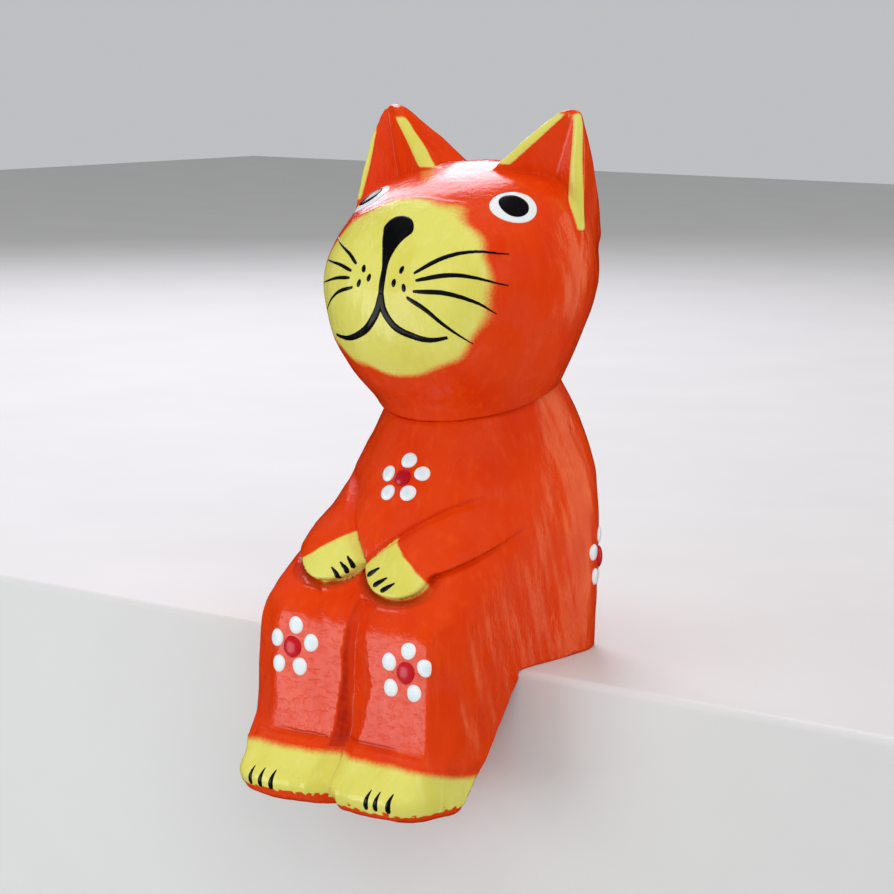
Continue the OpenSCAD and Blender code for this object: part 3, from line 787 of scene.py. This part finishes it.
def foot_cover(x, y, z):
    """The feet, from a soft top edge down to an uneven edge above the soles"""
    side = np.abs(x)
    top = FOOT_TOP - 3.2 * smooth((side - 15) / 8) * smooth((y + 44) / 20) + 0.12 * ripple(x, y, z, 6, 7)
    low = 1.3 - DROP + 0.6 * smooth(-x / 2) + 0.65 * np.abs(ripple(x, y, z, 2.2, 8))
    slope_y = EDGE_Y + np.interp(z, [-1.5 - DROP, -8.8], [-16.6, -5])
    return smooth((top - z) / 3.6 + 0.5) * smooth((z - low) / 0.35) * smooth((slope_y - y) / 0.5)


def along_edge(a, b, x, y, z):
    """Distance from the straight line through a and b"""
    a, way = np.array(a), unit(np.array(b) - np.array(a))
    offset = np.stack([x - a[0], y - a[1], z - a[2]], -1)
    return np.linalg.norm(offset - (offset @ way)[..., None] * way, axis=-1)


def rim_cover(x, y, z, side):
    """The flat rims of an ear, which are yellow, as far as a little above its feet"""
    tip, inner, outer = EARS[side][:3]
    place = (np.abs(x), y, z)
    low = smooth((88 - z) / 7) * (side > 0)
    at_front = smooth(1.3 - np.abs(beyond_facet(EAR_PLANES[side][0], *place)) / (0.7 + 0.6 * low))
    bands = []
    for foot, width, end in zip((inner, outer), RIMS[side], RIM_ENDS[side]):
        edge = along_edge(tip, foot, *place)
        narrow = 0.9 * low + 0.6 * smooth((z - 88) / 9) * (side < 0)
        bands.append(smooth((width + 0.25 - narrow - edge) / 0.5) * smooth((z - end) / 0.9))
    return at_front * np.maximum(*bands) * smooth((RIM_TOPS[side] - z) / 1.4)


sprayed("muzzle_paint", head_surface, muzzle_cover(*head_surface[0].T))
for word, side in (("left", 1), ("right", -1)):
    on_side = body_surface[0][:, 0] * side > 0
    sprayed("paw_paint_" + word, body_surface, paw_cover(*body_surface[0].T) * on_side)
    sprayed("foot_paint_" + word, body_surface, foot_cover(*body_surface[0].T) * on_side)
    on_side = head_surface[0][:, 0] * side > 0
    sprayed("ear_stripes_" + word, head_surface, rim_cover(*head_surface[0].T, side) * on_side)

# ---- brush marks on the face ----
NOSE_TOP, NOSE_BULB, NOSE_NECK, FORK = 81.3, 79.0, 72.0, 66.6


def nose_width(t):
    """The width of the nose's bulb and of the line below it, from its top at 0 to the fork at 1"""
    z = NOSE_TOP + (FORK - NOSE_TOP) * t
    cap = np.sqrt(np.clip(1 - ((z - NOSE_BULB) / (NOSE_TOP - NOSE_BULB + 0.05)) ** 2, 0, 1))
    rise = np.clip((z - NOSE_NECK) / (NOSE_BULB - NOSE_NECK), 0, 1)
    return np.where(z > NOSE_BULB, 7.3 * cap, 1.3 + 6 * rise**1.8)


def tapered(width, start, end):
    """A brush's width that swells from its start and thins to its end, as parts of its full width"""

    def width_at(t):
        swelling = start + (1 - start) * np.sqrt(t / 0.18 + 1e-4)
        thinning = 1 - (1 - end) * np.clip((t - 0.25) / 0.75, 0, 1) ** 1.6
        return width * np.minimum(swelling, thinning).clip(0.05, 1)

    return width_at


# Places on the face, as x and z, with left and right as the cat's own
LIPS = {"left": [(0.1, 68.0), (0.8, 64.8), (3.2, 62.0), (6.8, 60.6), (10.0, 60.1), (13.2, 60.7)],
        "right": [(0.1, 68.0), (-0.8, 64.8), (-3.2, 61.8), (-6.6, 59.9), (-10.2, 59.0), (-14.2, 59.2)]}
WHISKERS = {"left": [[(6.8, 71.8), (11.9, 74.8), (16.3, 75.8), (20.8, 75.4)],
                     [(7.5, 70.6), (13.0, 71.7), (17.4, 71.4), (21.8, 70.0)],
                     [(7.2, 68.7), (13.2, 68.6), (17.7, 67.2), (20.4, 65.0)],
                     [(5.9, 67.6), (9.6, 65.6), (13.4, 62.6), (16.8, 59.6)]],
            "right": [[(-7.1, 72.7), (-11.0, 74.6), (-18.0, 76.6)],
                      [(-8.0, 71.4), (-12.6, 72.3), (-19.0, 72.6)],
                      [(-8.2, 70.2), (-12.5, 69.8), (-18.6, 68.4)],
                      [(-7.1, 68.6), (-12.1, 67.1), (-17.5, 63.4)]]}
SPOTS = {"left": [(4.0, 72.3), (2.7, 69.9), (5.1, 69.2)],
         "right": [(-5.0, 72.0), (-3.3, 70.5), (-5.6, 69.4)]}
EYES = {"left": (17.3, 83.4), "right": (-15.6, 83.6)}
EYE_HALF, PUPIL_HALF = (4.35, 3.95), (2.95, 2.5)    # half their widths and heights
EYE_SLANT = -0.75                         # in radians

# The nose wanders from side to side: x at some heights
NOSE_X = ((FORK, 0.1), (72, 0.0), (74.5, -0.3), (77, -0.4), (NOSE_BULB, -0.2), (NOSE_TOP, 0.4))
nose_route = [(np.interp(z, *zip(*NOSE_X)), z) for z in np.linspace(NOSE_TOP, FORK, 9)]
marks = [brush_mark(head_field, nose_route, nose_width, 0.2, 70, 15)]
spots = []
for word, side in (("left", 1), ("right", -1)):
    marks.append(brush_mark(head_field, LIPS[word], tapered(1.5, 0.75, 0.4), 0.15, 60))
    whiskers = [brush_mark(head_field, w, tapered(0.78 + 0.08 * side, 0.5, 0.2)) for w in WHISKERS[word]]
    paint("whiskers_" + word, "black_enamel", black, whiskers)
    for i, spot in enumerate(SPOTS[word]):
        centre = on_front(head_field, spot)[0]
        spots.append(dab(head_field, centre, 0.5, 0.75, 0.3 * side * (i - 1), 0.13, 0.09, 40 + i, 5, 20))
    centre = on_front(head_field, EYES[word])[0]
    ball = dab(head_field, centre, *EYE_HALF, EYE_SLANT * side, 0.42, seed=50 + side, rings=10, spokes=48)
    paint("eye_white_" + word, "white_enamel", white, [ball])
    pupil = dab(head_field, centre, *PUPIL_HALF, EYE_SLANT * side, 0.3, 0.34, 60 + side, 8, 40)
    paint("pupil_" + word, "black_enamel", black, [pupil])
paint("nose_and_mouth", "black_enamel", black, marks)
paint("whisker_spots", "black_enamel", black, spots)

# ---- claws ----
# The middle of each claw's stroke, and from there to its lower and upper ends; then x of the toes'
CLAWS = {"left": [(1.9, 17.9), (4.1, 16.4), (6.2, 15.7)],
         "right": [(-3.7, 18.9), (-4.7, 17.9), (-6.3, 16.8)]}
CLAW_ENDS = {"left": ((-1.3, -0.8), (1.4, 0.9)), "right": ((0.5, -0.75), (-1.1, 1.0))}
TOES = {"left": (11.9, 14.0, 16.7), "right": (-15.8, -13.1, -10.5)}
for word, side in (("left", 1), ("right", -1)):
    low, high = CLAW_ENDS[word]
    marks = [brush_mark(body_field, [(x + low[0], z + low[1]), (x, z), (x + high[0], z + high[1])],
                        tapered(1.0, 0.55, 0.3), count=16) for x, z in CLAWS[word]]
    paint("claw_strokes_" + word, "black_enamel", black, marks)
    marks = [brush_mark(body_field, [(x - 0.25, -21.6), (x, -20.0), (x + 0.3, -18.3)],
                        tapered(1.05, 0.5, 0.2), count=18) for x in TOES[word]]
    paint("toe_strokes_" + word, "black_enamel", black, marks)


# ---- flowers of dots ----
def flower(name, centre, radius, first, seed, middle_r=2.05, petal_r=1.63):
    """Five white dots round a red one, put on with the end of a stick"""
    rng = np.random.default_rng(seed)
    normal = outward(body_field, centre[None])[0]
    sideways = unit(np.cross((0, 0, 1), normal))
    upward = np.cross(normal, sideways)
    petals = []
    for i in range(5):
        a = math.radians(72 * i + first + rng.uniform(-4, 4))
        reach = radius + rng.uniform(-0.12, 0.12)
        aside = 1.08 * math.sin(a) + 0.17 * math.cos(a)
        spot = centre + reach * (aside * sideways + math.cos(a) * upward)
        spot = settle(body_field, spot[None], 12)[0]
        half_w = petal_r + rng.uniform(-0.01, 0.11)
        half_h = petal_r - rng.uniform(-0.01, 0.11)
        slant = rng.uniform(-0.4, 0.4)
        petals.append(dab(body_field, spot, half_w, half_h, slant, 0.5, seed=seed + i))
    petal_name, centre_name = name
    # the cover layer here carries the petals' painted reflection, full at their middles
    paint(petal_name, "white_enamel", petal_white, petals, np.tile(dab_reflection_mask(), 2 * 5))
    middle = dab(body_field, centre, middle_r * 1.03, middle_r * 0.97, 0, 0.75, seed=seed + 9)
    paint(centre_name, "red_enamel", red, [middle])


flower(("chest_petals", "chest_centre"), on_front(body_field, (1.5, 34.0))[0], 3.5, -7, 101, 1.65, 1.54)
flower(("knee_petals_left", "knee_centre_left"), on_front(body_field, (14.8, 2.2))[0], 4.1, 0, 111)
flower(("knee_petals_right", "knee_centre_right"), on_front(body_field, (-12.0, 3.3))[0], 4.1, -3, 121)
BACK_TURN = math.radians(31)              # from the side towards the back
BACK_Z = 16.9                             # height of the flowers there
for word, side in (("left", 1), ("right", -1)):
    direction = np.array([-side * math.cos(BACK_TURN), -math.sin(BACK_TURN), 0])
    start = np.array([0, 0, BACK_Z]) - direction * 50
    centre = seen_along(body_field, start, direction)[0]
    flower(("back_petals_" + word, "back_centre_" + word), centre, 4.0, 0, 131 + side)

# ---- floor, camera and lights ----
AIM_SHIFT = (0.0078, -0.0050, 0.0012)     # from the middle of the CAD to where the camera looks
CAMERA_AZIMUTH, CAMERA_ELEVATION = 40, 8.5
CAMERA_DISTANCE = 0.536
FOCAL_LENGTH, SENSOR_WIDTH = 118.8, 36
ROOM_COLOUR = (0.95, 0.97, 1.0, 1)
ROOM_STRENGTH = 0.54
box_low, box_high = (np.array(c) for c in cad_box)
aim = Vector((box_low + box_high) / 2) + Vector(AIM_SHIFT)


def away(azimuth, elevation):
    """The direction from the cat to an azimuth, where 0 is straight ahead of it, and an elevation"""
    a, e = math.radians(azimuth), math.radians(elevation)
    return Vector((math.sin(a) * math.cos(e), -math.cos(a) * math.cos(e), math.sin(e)))


def ledge():
    """A pale step that the cat sits on: a top, a rounded edge, a front and a lower floor"""
    edge_r, deep, far = 1.5 * MM, 0.3, 1.3
    bend = [(EDGE_Y * MM + edge_r * (1 - math.sin(a)), edge_r * (math.cos(a) - 1))
            for a in np.radians(np.arange(0, 91, 10))]
    profile = [(far, 0)] + bend + [(EDGE_Y * MM, -deep), (-far, -deep)]
    points = [(x, y, z - 0.02 * MM) for x in (-far, far) for y, z in profile]
    n = len(profile)
    faces = [(i, i + 1, n + i + 1, n + i) for i in range(n - 1)]
    mesh = bpy.data.meshes.new("ledge")
    mesh.from_pydata(points, [], faces)
    mesh.materials.append(plaster("pale_plaster"))
    floor = bpy.data.objects.new("ledge", mesh)
    bpy.context.scene.collection.objects.link(floor)
    floor.visible_glossy = False


def softbox(name, azimuth, elevation, distance, width, height, watts, gloss=True, colour=(1, 1, 1)):
    """A soft light that faces the cat, and shows in its gloss or doesn't; lengths are in metres"""
    light = bpy.data.lights.new(name, "AREA")
    light.color = colour
    light.shape = "RECTANGLE"
    light.size = width
    light.size_y = height
    light.energy = watts
    lamp = bpy.data.objects.new(name, light)
    lamp.location = aim + away(azimuth, elevation) * distance
    lamp.rotation_euler = away(azimuth, elevation).to_track_quat("Z", "Y").to_euler()
    lamp.visible_glossy = gloss
    bpy.context.scene.collection.objects.link(lamp)


ledge()
softbox("front_softbox", -38, -7, 0.6, 0.36, 0.36, 1.2, colour=(0.92, 0.97, 1.0))
softbox("crown_softbox", -130, 36, 0.8, 0.34, 0.56, 2.8, colour=(0.92, 0.89, 1.0))
softbox("side_softbox", 151, 6, 0.9, 0.28, 0.72, 1.15, colour=(1.0, 0.80, 0.42))
softbox("overhead_softbox", 0, 86, 0.9, 0.6, 0.6, 2.1, gloss=False)
softbox("fill_softbox", 55, 25, 1.0, 0.6, 0.6, 3.3, gloss=False)

world = bpy.data.worlds.new("pale_room")
world.use_nodes = True
room = world.node_tree.nodes["Background"]
room.inputs["Color"].default_value = ROOM_COLOUR
room.inputs["Strength"].default_value = ROOM_STRENGTH
bpy.context.scene.world = world
world.cycles_visibility.glossy = False    # the room doesn't show in the gloss
bpy.context.scene.view_settings.view_transform = "Standard"

lens = bpy.data.cameras.new("camera")
lens.lens = FOCAL_LENGTH
lens.sensor_width = SENSOR_WIDTH
camera = bpy.data.objects.new("camera", lens)
to_camera = away(CAMERA_AZIMUTH, CAMERA_ELEVATION)
camera.location = aim + to_camera * CAMERA_DISTANCE
camera.rotation_euler = to_camera.to_track_quat("Z", "Y").to_euler()
bpy.context.scene.collection.objects.link(camera)
bpy.context.scene.camera = camera
